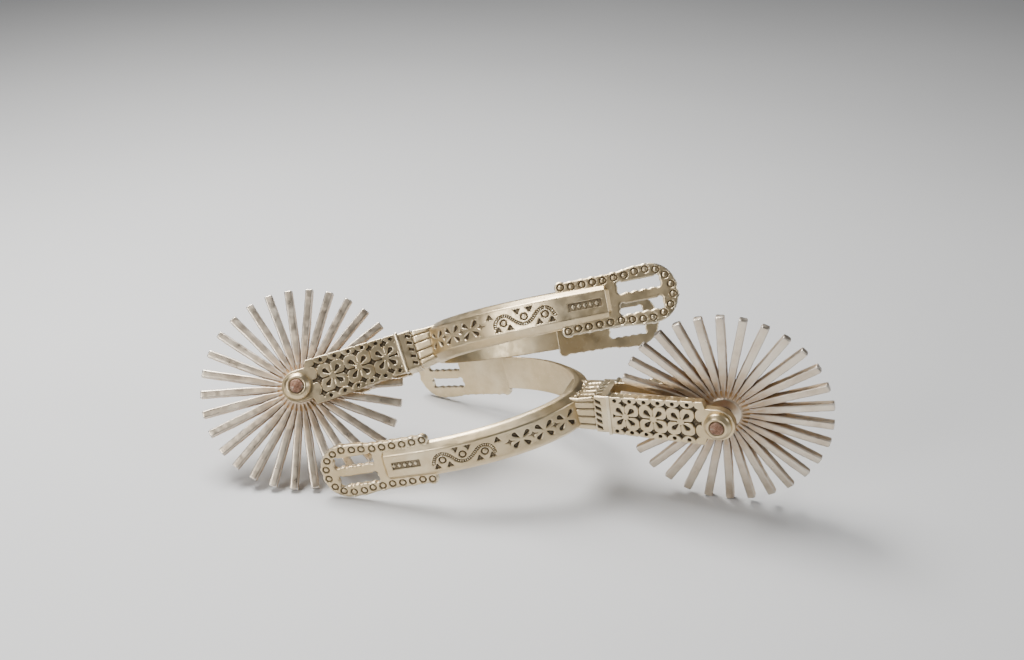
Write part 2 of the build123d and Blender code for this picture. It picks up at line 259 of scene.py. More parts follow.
def arm_line(side, k, s_stations):
    n = 6001
    t = np.linspace(0, 2.04, n)[:, None]
    b = (1 - t) ** 3 * B0 + 3 * (1 - t) ** 2 * t * B1 + 3 * (1 - t) * t * t * B2 + t ** 3 * B3
    q = np.where(t <= 1, b, B3 + (t - 1) * (ARM_END + k[1] - XE) / (B3[0] - B2[0]) * (B3 - B2))
    p = np.stack([q[:, 0], side * (q[:, 1] + set_out(q[:, 0], k))], 1)
    s = np.concatenate([[0], np.cumsum(np.hypot(*np.diff(p, axis=0).T))])
    d = np.gradient(p, axis=0)
    d[0] = (0, side)
    d /= np.hypot(d[:, 0], d[:, 1])[:, None]
    s_end = float(np.interp(2.0, t[:, 0], s))
    i = [np.interp(s_stations, s, p[:, 0]), np.interp(s_stations, s, p[:, 1]),
         np.interp(s_stations, s, d[:, 0]), np.interp(s_stations, s, d[:, 1])]
    ln = np.hypot(i[2], i[3])
    dx, dy = i[2] / ln, i[3] / ln
    return i[0], i[1], -dy * side, dx * side, s_end


VINE = [(46.3, -2.2), (46.5, -0.6), (47.3, 0.9), (48.6, 2.0), (50.5, 2.45), (52.3, 2.0), (53.7, 0.9),
        (55.2, -0.5), (56.9, -1.9), (58.6, -2.75), (60.3, -2.9), (62.2, -2.3), (63.8, -1.0), (65.2, 0.6),
        (66.8, 1.95), (68.8, 2.6), (70.7, 2.1), (72.0, 1.0), (72.8, -0.5), (73.2, -1.7)]


def band_ornament(s, z):
    h = np.zeros(np.shape(s))
    for i, c in enumerate((13.4, 23.7, 34.1)):
        for a in (43, 137, 223, 317):
            h = carve(h, d_tear(s, z, c, -0.1, math.radians(a + 2 * i), 0.75, 3.9, 1.3), 0.95, 0.62)
    for c in (18.55, 28.9, 39.3):
        h = carve(h, d_star(s, z, c, 0.0, 2.5, 2.0), 0.6, 0.3)
        for q in (-0.55, 0.0, 0.55):
            h = carve(h, d_bar(s, z, c + q - 0.25, -4.9, c + q + 0.15, -3.2, 0.12), 0.22, 0.2)
            h = carve(h, d_bar(s, z, c + q - 0.15, 3.2, c + q + 0.25, 4.7, 0.12), 0.22, 0.2)
    for q in (7.2, 7.9):
        h = carve(h, np.abs(s - q) - 0.16, 0.25, 0.2)
    h = tulip(h, s, z, 44.2, 1.55, 4.5, 1.95)
    for c, zc, down in ((50.4, -0.75, 1), (59.9, 0.35, -1), (69.0, -0.55, 1)):
        h = ring_punch(h, s, z, c, zc)
        for q in (-2.75, 2.75):
            if down > 0:
                h = tulip(h, s, z, c + q, -4.75, -1.75, 1.95)
            else:
                h = tulip(h, s, z, c + q, 4.6, 1.6, 1.95)
    d, along = d_path(s, z, VINE)
    beads = 0.5 + 0.5 * np.cos(along * 2 * math.pi / 0.98)
    rope = 0.62 * smooth((0.86 - d) / 0.3) * (1 - 0.72 * smooth(beads * 1.2) * smooth((0.62 - d) / 0.25))
    h = np.maximum(h, rope)
    # recessed panel near the arm's end, with a plain row of lozenges
    panel = 0.62 * smooth(-d_box(s, z, 86.4, -0.05, 7.6, 1.95, 0.7) / 0.35)
    for i in range(5):
        c = 81.2 + 2.6 * i
        loz = (np.abs(s - c) / 1.12 + np.abs(z + 0.05) / 1.42) - 1
        panel = panel * (1 - 0.78 * smooth(-loz / 0.45))
    return np.maximum(h, panel)


def rounded_ring(corners, radii, splits):
    """Corners: list of (ns, 2). Gives a ring (ns, nr, 2) with softened corners and split edges."""
    n = len(corners)
    out, edge_id = [], []
    for i in range(n):
        c, prv, nxt = corners[i], corners[i - 1], corners[(i + 1) % n]
        r = radii[i]
        e0, e1 = prv - c, nxt - c
        l0, l1 = np.linalg.norm(e0, axis=1)[:, None], np.linalg.norm(e1, axis=1)[:, None]
        a = c + e0 / l0 * np.minimum(r, 0.4 * l0)
        b = c + e1 / l1 * np.minimum(r, 0.4 * l1)
        for q in (0.0, 0.25, 0.5, 0.75, 1.0):
            out.append((1 - q) ** 2 * a + 2 * q * (1 - q) * c + q * q * b)
            edge_id.append(-1)
        r2 = radii[(i + 1) % n]
        nn = corners[(i + 2) % n]
        f0 = c - nxt
        m0 = np.linalg.norm(f0, axis=1)[:, None]
        stop = nxt + f0 / m0 * np.minimum(r2, 0.4 * m0)
        for q in range(1, splits[i]):
            out.append(b + (stop - b) * (q / splits[i]))
            edge_id.append(i)
    return np.stack(out, 1), np.array(edge_id)


def heel_band(tag, S, material):
    shell = Shell()
    step = 0.26
    rows = []
    for side in (-1, 1):
        k = S["arms"][side]
        s_end = arm_line(side, k, np.array([0.0]))[4]
        st = np.concatenate([np.arange(0, s_end - 1.9, step), np.linspace(s_end - 1.8, s_end + 0.35, 12)])
        x, y, nx, ny, _ = arm_line(side, k, st)
        fr = np.clip(st / s_end, 0, 1)
        th = 6.2 - 2.3 * fr
        hi = 9.5 - 1.1 * fr
        ho = 6.1 - 1.0 * fr
        kk = np.clip((st - (s_end - 1.5)) / 1.7, 0, 1)      # bevelled end, down to the plate
        th = th * (1 - kk) + 2.15 * kk
        ho = ho * (1 - kk) + 4.6 * kk
        hi = hi * (1 - kk) + 7.6 * kk
        low = 0.9 * smooth((x - PLATE_X0 - k[1] - 0.9) / 1.2)     # the arm sinks into the plate
        rows.append((side, st, x, y, nx, ny, th, hi, ho, low, s_end))
    a, b = rows
    cat = lambda i: np.concatenate([a[i][::-1], b[i][1:]])
    st, x, y, nx, ny, th, hi, ho, low = [cat(i) for i in range(1, 10)]
    z0 = np.zeros_like(th)
    corners = [np.stack(q, 1) for q in ((low, -hi), (low, hi), (0.38 * th, hi - 0.5), (th, ho), (th, -ho),
                                        (0.38 * th, -hi + 0.5))]
    corners[2][:, 0] = np.maximum(corners[2][:, 0], low + 0.25)
    corners[5][:, 0] = np.maximum(corners[5][:, 0], low + 0.25)
    ring, eid = rounded_ring(corners, [0.5, 0.5, 0.7, 0.55, 0.55, 0.7], [8, 2, 7, 52, 7, 2])
    o, z = ring[..., 0], ring[..., 1]
    face = (eid == 3)
    S2 = np.repeat(st[:, None], ring.shape[1], 1)
    h = np.zeros_like(o)
    ends = smooth((np.minimum(a[10], b[10]) - 1.6 - S2) / 0.4)
    h[:, face] = (band_ornament(S2, z) * ends)[:, face]
    # handwork: the faces aren't quite true
    soft = 0.07 * wobble(S2, z, S["seed"], 0.55) * (eid >= 0)
    soft = np.where(eid[None, :] == 0, 0.4 * soft, soft)
    oo = o - h - soft
    sgn = 1.0
    P = np.stack([x[:, None] + nx[:, None] * oo, y[:, None] + ny[:, None] * oo, z * sgn], -1)
    faces = tube_faces(P.shape[0], P.shape[1])
    shell.add(P, faces, h, np.clip(S2 / 96.0, 0, 1))
    t, m = S["t"], S["m"]
    return shell.build(tag + "_band_carved", lambda v: v @ m.T + t, tag + "_heel_band", S["frame_body"],
                       material)


# ---------------------------------------------------------------------------
# strap plates
# ---------------------------------------------------------------------------
def rim_rings():
    path = [(124.3, 9.7), (130.0, 9.3), (146.0, 9.25), (152.0, 9.8), (158.0, 10.6), (162.6, 10.7), (165.4, 10.0),
            (168.0, 8.3), (170.0, 6.0), (171.2, 3.2), (171.6, 0.0)]
    path += [(q[0], -q[1]) for q in path[-2::-1]]
    p = np.array(path)
    s = np.concatenate([[0], np.cumsum(np.hypot(*np.diff(p, axis=0).T))])
    n = int(round(s[-1] / 4.72))
    at = np.linspace(0, s[-1], n + 1)
    return np.stack([np.interp(at, s, p[:, 0]), np.interp(at, s, p[:, 1])], 1)


RIM = rim_rings()


def plate_domain(x, z, jit):
    half = 11.7 + 1.25 * smooth((x - 147) / 10.0)
    body = np.maximum(np.abs(z) - half, np.maximum(PLATE_X0 + 0.6 - x, x - 173.7))
    # rounded free end
    q = np.hypot(np.maximum(x - 162.2, 0), np.maximum(np.abs(z) - 1.6, 0)) - 11.4
    body = np.where(x > 162.2, np.maximum(body, q), body)
    # clipped corners where the flange begins
    body = np.maximum(body, (np.abs(z) * 0.75 - (x - PLATE_X0) * 0.66 - 5.4) * 0.8)
    d = body
    for i, (cx, cz) in enumerate(RIM):
        d = np.minimum(d, np.hypot(x - cx - jit[i, 0], z - cz - jit[i, 1]) - 2.66)
    # slots, chain-drilled and filed
    for sg in (1, -1):
        zc = sg * 4.72
        slot = d_box(x, z, 157.6, zc, 9.0, 2.35, 1.2)
        for cx in (149.9, 153.7, 157.5, 161.3, 165.1):
            slot = np.minimum(slot, d_dot(x, z, cx + 0.2 * sg, zc - 0.95, 1.78))
        for cx in (149.6, 165.6):
            for cz in (zc - 1.55, zc + 1.55):
                slot = np.minimum(slot, d_dot(x, z, cx, cz, 1.28))
        d = np.maximum(d, -slot)
    return d


def strap_plate(tag, S, side, word, material):
    k = S["arms"][side]
    seed = S["seed"] * 7 + (1 if side > 0 else 2)
    jit = np.random.RandomState(seed).uniform(-0.16, 0.16, (len(RIM), 2))
    g = 0.27
    xs = np.arange(119.0, 176.2, g)
    zs = np.arange(-15.2, 15.2 + g / 2, g)
    X, Z = np.meshgrid(xs, zs, indexing="ij")
    D = plate_domain(X, Z, jit)
    # snap points near the outline onto it
    e = 1e-3
    for _ in range(3):
        gx = (plate_domain(X + e, Z, jit) - plate_domain(X - e, Z, jit)) / (2 * e)
        gz = (plate_domain(X, Z + e, jit) - plate_domain(X, Z - e, jit)) / (2 * e)
        gg = np.maximum(gx * gx + gz * gz, 0.2)
        near = np.abs(D) < g * 0.62
        X = np.where(near, X - np.clip(D * gx / gg, -g * 0.45, g * 0.45), X)
        Z = np.where(near, Z - np.clip(D * gz / gg, -g * 0.45, g * 0.45), Z)
        D2 = plate_domain(X, Z, jit)
        D = np.where(near, D2, D)
    D = plate_domain(X, Z, jit)
    inside = D < 0.06
    quad = inside[:-1, :-1] & inside[1:, :-1] & inside[1:, 1:] & inside[:-1, 1:]
    used = np.zeros_like(inside)
    used[:-1, :-1] |= quad
    used[1:, :-1] |= quad
    used[1:, 1:] |= quad
    used[:-1, 1:] |= quad
    idx = -np.ones(X.shape, int)
    idx[used] = np.arange(used.sum())
    n = int(used.sum())
    x, z, d = X[used], Z[used], D[used]
    h = np.zeros(n)
    for i, (cx, cz) in enumerate(RIM):
        h = ring_punch(h, x, z, cx + jit[i, 0], cz + jit[i, 1], 1.38, 0.44, 0.6)
    # small slips of the punch, beside every third rim punch
    for i in range(0, len(RIM), 3):
        cx, cz = RIM[i] + jit[i]
        h = carve(h, d_bar(x, z, cx - 0.8, cz - np.sign(cz) * 2.1, cx + 0.7, cz - np.sign(cz) * 2.25, 0.1), 0.15, 0.15)
    edge = 0.34 * (1 - smooth((-d) / 0.75)) ** 1.5
    low = 0.05 * wobble(x, z, seed, 0.6)
    top = PLATE_T - h - edge - low
    bottom = 0.22 * (1 - smooth((-d) / 0.5)) ** 1.5
    i, j = np.nonzero(quad)
    q0, q1, q2, q3 = idx[i, j], idx[i + 1, j], idx[i + 1, j + 1], idx[i, j + 1]
    # k, direction of the plate
    tx = np.array([XE, ARM_END + k[1]])
    yy = side * (np.array([W_END, W_END + (ARM_END + k[1] - XE) / (B3[0] - B2[0]) * (B3[1] - B2[1])]) + set_out(tx, k))
    dx, dy = tx[1] - tx[0], yy[1] - yy[0]
    ln = math.hypot(dx, dy)
    dx, dy = dx / ln, dy / ln
    nx, ny = -dy * side, dx * side
    xr = x + k[1]
    y_at = yy[0] + (xr - tx[0]) * dy / dx
    up = np.stack([xr + nx * top, y_at + ny * top, z], 1)
    dn = np.stack([xr + nx * bottom, y_at + ny * bottom, z], 1)
    faces = np.stack([q0, q1, q2, q3], 1).tolist() + (np.stack([q3, q2, q1, q0], 1) + n).tolist()
    # side walls along the outline
    cnt = {}
    allq = np.stack([q0, q1, q2, q3], 1)
    ea = np.concatenate([allq[:, [0, 1]], allq[:, [1, 2]], allq[:, [2, 3]], allq[:, [3, 0]]])
    key = np.sort(ea, 1)
    code = key[:, 0].astype(np.int64) * (n + 1) + key[:, 1]
    uniq, inv, c = np.unique(code, return_inverse=True, return_counts=True)
    rim = ea[c[inv] == 1]
    # a middle row on the wall lets its edge be uneven, as drilled and filed
    ring_ids = np.unique(rim)
    mid_of = {int(q): 2 * n + r for r, q in enumerate(ring_ids)}
    mt = 0.5 * (top[ring_ids] + bottom[ring_ids])
    mid = np.stack([xr[ring_ids] + nx * mt, y_at[ring_ids] + ny * mt, z[ring_ids]], 1)
    for p, q in rim:
        p, q = int(p), int(q)
        faces.append([q, p, mid_of[p], mid_of[q]])
        faces.append([mid_of[q], mid_of[p], p + n, q + n])
    shell = Shell()
    wall = np.zeros(len(ring_ids))
    # the side walls carry a small cut value, which paints them a little darker: painted shade
    shell.add(np.concatenate([up, dn, mid]), faces,
              np.concatenate([h + 0.35 * edge, bottom * 0.3, wall + 0.16]), np.concatenate([np.zeros(n), np.ones(n), wall]))
    t, m = S["t"], S["m"]
    return shell.build(tag + "_" + word + "_plate_punched", lambda v: v @ m.T + t, tag + "_" + word + "_strap_plate",
                       S["frame_body"], material)


# ---------------------------------------------------------------------------
# fork: cheeks, rib, rope-punched collar and fluted ferrule
# ---------------------------------------------------------------------------
FLOWERS = (16.9, 29.5, 42.4)
TABS = (13.5, 20.2, 26.8, 33.3, 39.9, 46.9)


def cheek_half(x):
    return np.where(x > 6, 10.6 + (9.3 - 10.6) * (x - 6) / 44.0, 7.4)


def cheek_ornament(x, z):
    H = cheek_half(x)
    big = np.full(np.shape(x), 1e9)
    raised = big
    for c in FLOWERS:
        raised = np.minimum(raised, d_dot(x, z, c, 0, 1.5))
        for a, b in ((1, 1), (-1, 1), (1, -1), (-1, -1)):
            raised = np.minimum(raised, d_box(x, z, c + 3.2 * a, 3.4 * b, 3.05, 2.95, 2.2))
    zc = np.abs(z)
    for c in TABS:
        raised = np.minimum(raised, d_oval(x, zc, c, H - 0.75, 3.2, 2.6))
    raised = np.minimum(raised, d_oval(x, zc, 8.1, H - 1.3, 2.2, 3.0))
    raised = np.minimum(raised, d_oval(x, zc, 8.2, 3.7, 1.9, 2.7))
    raised = np.minimum(raised, 48.3 - x)
    raised = np.minimum(raised, x - 6.2)
    raised = np.minimum(raised, d_box(x, z, 2.0, 0.0, 5.2, 30))
    h = 0.85 * smooth((raised + 0.02) / 0.42)
    h = np.where(x > 48.2, 0.0, h)
    for i, c in enumerate(FLOWERS):
        for a in (46, 134, 226, 314):
            h = carve(h, d_tear(x, z, c, 0.0, math.radians(a), 1.0, 4.45, 1.36), 1.2, 0.8)
    for c in TABS:
        h = carve(h, d_dot(x, zc, c, H - 1.75, 1.0), 1.2, 0.4)
    for c in (10.35, 17.0, 23.5, 30.1, 36.6, 43.4):
        h = carve(h, d_star(x, zc, c, 6.75, 2.5, 2.3), 1.15, 0.4)
    for c in (10.9, 23.2, 36.0):
        h = carve(h, d_star(x, z, c, 0.0, 2.3, 3.2), 1.15, 0.4)
    for c in (10.35, 17.0, 23.5, 30.1, 36.6, 43.4):
        for q in (-0.5, 0.1, 0.7):
            h = carve(h, d_bar(x, zc, c + q, H - 1.4, c + q + 0.25, H + 0.2, 0.1), 0.3, 0.2)
    return h


def collar_ornament(x, w, side, half):
    """Rope punches and fluting; w runs up the face."""
    h = np.zeros(np.shape(x))
    for i in range(5):
        c = (2 - i) * 3.2 * half / 9.1
        u = w - c - side * 0.45 * (x - 55.0)
        d = np.maximum(np.abs(x - 54.9 - 0.25 * (w - c)) - 1.35, np.abs(u) - 0.92)
        h = carve(h, d, 0.95, 0.5)
    for i, c in enumerate((5.9, 2.35, -1.6, -5.6)):
        c = c * half / 9.1 + 0.15 * side
        d = d_bar(x, w, 57.2, c, 65.5, c * 0.93 + 0.2, 0.05)
        h = np.maximum(h, 0.55 * smooth((0.62 - d) / 0.6))
    return h


def top_ornament(x, w):
    """Beads across the neck next to the band, on its upper and lower faces."""
    h = np.zeros(np.shape(x))
    for i in range(5):
        c = (2 - i) * 3.0
        d = np.hypot(x - 66.0, w - c)
        h = np.maximum(h, 0.42 * smooth((0.5 - np.abs(d - 1.05)) / 0.4))
    h = np.maximum(h, 0.25 * smooth((0.24 - np.abs(x - 64.2)) / 0.2))
    h = np.maximum(h, 0.25 * smooth((0.24 - np.abs(x - 67.8)) / 0.2))
    return h


def box_sweep(shell, xs, y0, y1, H, faces_split, depth, soften=0.5, tone=0.0):
    """A bar along X between y0..y1 and -H..H, its four faces cut by depth(face, x, w)."""
    corners = [np.stack(q, 1) for q in ((y0, -H), (y0, H), (y1, H), (y1, -H))]
    ring, eid = rounded_ring(corners, [soften] * 4, faces_split)
    y, z = ring[..., 0].copy(), ring[..., 1].copy()
    X = np.repeat(xs[:, None], ring.shape[1], 1)
    h = np.zeros_like(X)
    for face in range(4):
        pick = eid == face
        w = z if face in (0, 2) else y
        q = depth(face, X, w)
        if q is None:
            continue
        h[:, pick] = q[:, pick]
        if face == 0:
            y[:, pick] += q[:, pick] * np.sign(y1 - y0)[:, None]
        elif face == 2:
            y[:, pick] -= q[:, pick] * np.sign(y1 - y0)[:, None]
        elif face == 1:
            z[:, pick] -= q[:, pick]
        else:
            z[:, pick] += q[:, pick]
    shell.add(np.stack([X, y, z], -1), tube_faces(*X.shape), h, np.full(X.shape, tone))


def rowel_fork(tag, S, material):
    shell = Shell()
    seed = S["seed"]
    for side in (-1, 1):
        a = np.linspace(0.03, 1, 14)
        xs = np.concatenate([-7.4 * np.cos(a * math.pi / 2), np.arange(0.3, 5.9, 0.4), [5.95, 6.05, 6.2],
                             np.arange(6.45, 49.05, 0.25), [49.1, 49.25, 49.5, 50.3, 50.6, 50.75, 50.95],
                             np.arange(51.3, 54.0, 0.4)])
        H = np.where(xs < 0, np.sqrt(np.maximum(7.4 ** 2 - xs ** 2, 0.05)), cheek_half(xs))
        H = np.where(xs >= 5.9, cheek_half(np.maximum(xs, 6.01)) - 1.6 * (1 - smooth((xs - 5.9) / 0.9)) ** 2, H)
        H = np.where(xs < 5.9, np.minimum(H, 7.4), H)
        yo = 11.4 + (9.3 - 11.4) * (xs - 6) / 44.0
        rib = smooth((xs - 49.05) / 0.35) * (1 - smooth((xs - 50.6) / 0.3))
        yo = yo + 0.45 * rib
        H = H + 0.45 * rib
        last = smooth((xs - 50.6) / 0.3)
        yo = yo * (1 - last) + 8.6 * last
        H = H * (1 - last) + 8.7 * last
        # scalloped long edges
        wave = np.zeros_like(xs)
        for c in (10.35, 17.0, 23.5, 30.1, 36.6, 43.4):
            wave += 0.32 * np.exp(-((xs - c) / 0.55) ** 2)
        H = H - wave
        yi = 7.2 + (4.6 - 7.2) * (xs - 6) / (48.2 - 6)
        yi = np.where(xs > 48.2, 4.6, yi)

        def depth(face, X, w, side=side):
            if face == 2:
                return cheek_ornament(X, w) + 0.04 * wobble(X, w, seed, 0.7)
            if face in (1, 3):
                ph = (X - 0.35 * np.abs(w)) / 3.35
                saw = ph - np.floor(ph)
                cut = 0.42 * (1 - smooth(np.abs(saw - 0.5) * 2 / 0.9)) * smooth((X - 7) / 2) * (1 - smooth((X - 47.5) / 1))
                return 0.5 * cut + 0.03 * wobble(X, w, seed + 5, 1.1)
            return 0.06 * wobble(X, w, seed + 9, 0.8)

        # face order: 0 inner, 1 top, 2 outer, 3 bottom
        box_sweep(shell, xs, side * yi, side * yo, H, [7, 14, 78, 14], depth, 0.45)
    # closed, rounded end of the gap
    arc = [(48.2 + 4.62 * math.sin(q), 4.62 * math.cos(q)) for q in np.linspace(0, math.pi, 25)]
    plan = [(54.0, 4.62)] + [(53.0, 4.62)] + [(48.2, 4.62)] + arc[1:-1] + [(48.2, -4.62), (53.0, -4.62), (54.0, -4.62)]
    zz = np.linspace(-8.98, 8.98, 12)
    ring = np.array(plan)
    P = np.zeros((len(zz), len(ring), 3))
    P[..., 0], P[..., 1], P[..., 2] = ring[None, :, 0], ring[None, :, 1], zz[:, None]
    # the wall closing the gap carries a small cut value, which paints it a little darker: painted shade between the
    # cheeks
    shell.add(P, tube_faces(len(zz), len(ring)), np.full(P.shape[:2], 0.15))
    # collar, ferrule and neck
    xs = np.concatenate([[50.62, 50.7], np.arange(50.9, 56.6, 0.25), [56.7, 56.85, 57.0, 57.15],
                         np.arange(57.4, 72.7, 0.3)])
    Y = np.where(xs < 56.8, 9.0, np.interp(xs, [56.8, 64.1, 72.7], [8.7, 9.7, 9.7]))
    H = np.where(xs < 56.8, 9.1, np.interp(xs, [56.8, 64.1, 72.7], [8.55, 7.7, 7.6]))
    Y = Y - 0.3 * np.exp(-((xs - 57.0) / 0.35) ** 2)
    H = H - 0.3 * np.exp(-((xs - 57.0) / 0.35) ** 2)

    def depth(face, X, w):
        live = smooth((X - 51.2) / 0.4)
        if face == 2:
            return collar_ornament(X, w, 1, 9.1) * live + 0.03 * wobble(X, w, seed + 2, 0.9)
        if face == 0:
            return collar_ornament(X, w, -1, 9.1) * live + 0.03 * wobble(X, w, seed + 3, 0.9)
        return (np.maximum(collar_ornament(X, w, 1 if face == 1 else -1, 9.0) * (1 - smooth((X - 63.2) / 0.6)),
                           top_ornament(X, w)) * live + 0.03 * wobble(X, w, seed + 4, 0.9))

    box_sweep(shell, xs, -Y, Y, H, [66, 66, 66, 66], depth, 0.9)
    t, m, f, tf = S["t"], S["m"], S["f"], S["tf"]
    return shell.build(tag + "_fork_carved", lambda v: (v @ f.T + tf) @ m.T + t, tag + "_rowel_fork",
                       S["frame_body"], material)


# ---------------------------------------------------------------------------
# turned pieces: bosses and pins
# ---------------------------------------------------------------------------
def lathe(shell, prof, n, uneven=None, cut=None):
    prof = np.array(prof, float)
    a = np.linspace(0, 2 * math.pi, n, endpoint=False)
    R = np.repeat(prof[:, :1], n, 1)
    Y = np.repeat(prof[:, 1:2], n, 1)
    A = np.repeat(a[None, :], len(prof), 0)
    if uneven is not None:
        dR, dY = uneven(R, A, Y)
        R, Y = R + dR, Y + dY
    P = np.stack([R * np.cos(A), Y, R * np.sin(A)], -1)
    c = np.zeros(R.shape) if cut is None else np.repeat(np.array(cut, float)[:, None], n, 1)
    shell.add(P, tube_faces(len(prof), n), c)


def fine(prof, step=0.16):
    out = [prof[0]]
    for (r0, y0), (r1, y1) in zip(prof[:-1], prof[1:]):
        k = max(1, int(math.hypot(r1 - r0, y1 - y0) / step))
        for q in range(1, k + 1):
            out.append((r0 + (r1 - r0) * q / k, y0 + (y1 - y0) * q / k))
    p = np.array(out)
    for _ in range(2):
        p[1:-1] = 0.25 * p[:-2] + 0.5 * p[1:-1] + 0.25 * p[2:]
    return p


def pin_boss(tag, S, side, word, material):
    prof = fine([(2.6, 10.2), (6.1, 10.2), (6.25, 10.9), (6.25, 12.9), (6.0, 13.5), (4.75, 14.62), (4.4, 14.8), (3.65, 14.8),
                 (3.45, 14.62), (3.3, 14.2), (2.6, 14.2)])
    # the inner lip around the pin head carries a cut value, so the brass darkens it: patina and painted shade
    cut = [0.45 if (r < 3.62 and y > 13) else 0.0 for r, y in prof]
    seed = S["seed"] + side

    def uneven(R, A, Y):
        k = 0.05 * np.sin(2 * A + seed) + 0.03 * np.sin(5 * A + 2.1 * seed) + 0.02 * wobble(A * 6, Y, seed, 1.0)
        return k * smooth((R - 2.9) / 0.5), 0.03 * np.sin(3 * A + seed) * smooth((Y - 13) / 1)

    shell = Shell()
    lathe(shell, prof, 120, uneven, cut)
    shell.v[0][:, 1] *= side
    t, m, f, tf = S["t"], S["m"], S["f"], S["tf"]
    return shell.build(tag + "_" + word + "_boss_turned", lambda v: (v @ f.T + tf) @ m.T + t,
                       tag + "_" + word + "_pin_boss", S["frame_body"], material)


def rowel_pin(tag, S, material):
    half = [(2.45, 0.0), (2.45, 14.3), (3.02, 14.32), (3.12, 14.7), (3.02, 15.1), (2.75, 15.32), (2.2, 15.5), (1.4, 15.62),
            (0.6, 15.68), (0.02, 15.7)]
    prof = fine([(r, -y) for r, y in half[::-1]] + half[1:], 0.17)
    seed = S["seed"] * 3

    def uneven(R, A, Y):
        x, z = R * np.cos(A), R * np.sin(A)
        head = smooth((np.abs(Y) - 14.4) / 0.4)
        r = 0.1 * np.sin(3 * A + seed) * head * smooth((R - 1.5) / 1.5) + 0.06 * np.sin(5 * A + 2 * seed) * head
        return r * np.minimum(R / 2, 1), (0.13 * wobble(x * 2.4, z * 2.4, seed, 1.3) - 0.05) * head * np.sign(Y)

    shell = Shell()
    lathe(shell, prof, 72, uneven)
    t, m, f, tf = S["t"], S["m"], S["f"], S["tf"]
    return shell.build(tag + "_pin_peened", lambda v: (v @ f.T + tf) @ m.T + t, tag + "_rowel_pin",
                       S["frame_body"], material)


# ---------------------------------------------------------------------------
# rowel
# ---------------------------------------------------------------------------
SPIKES, TIP = 30, 47.5


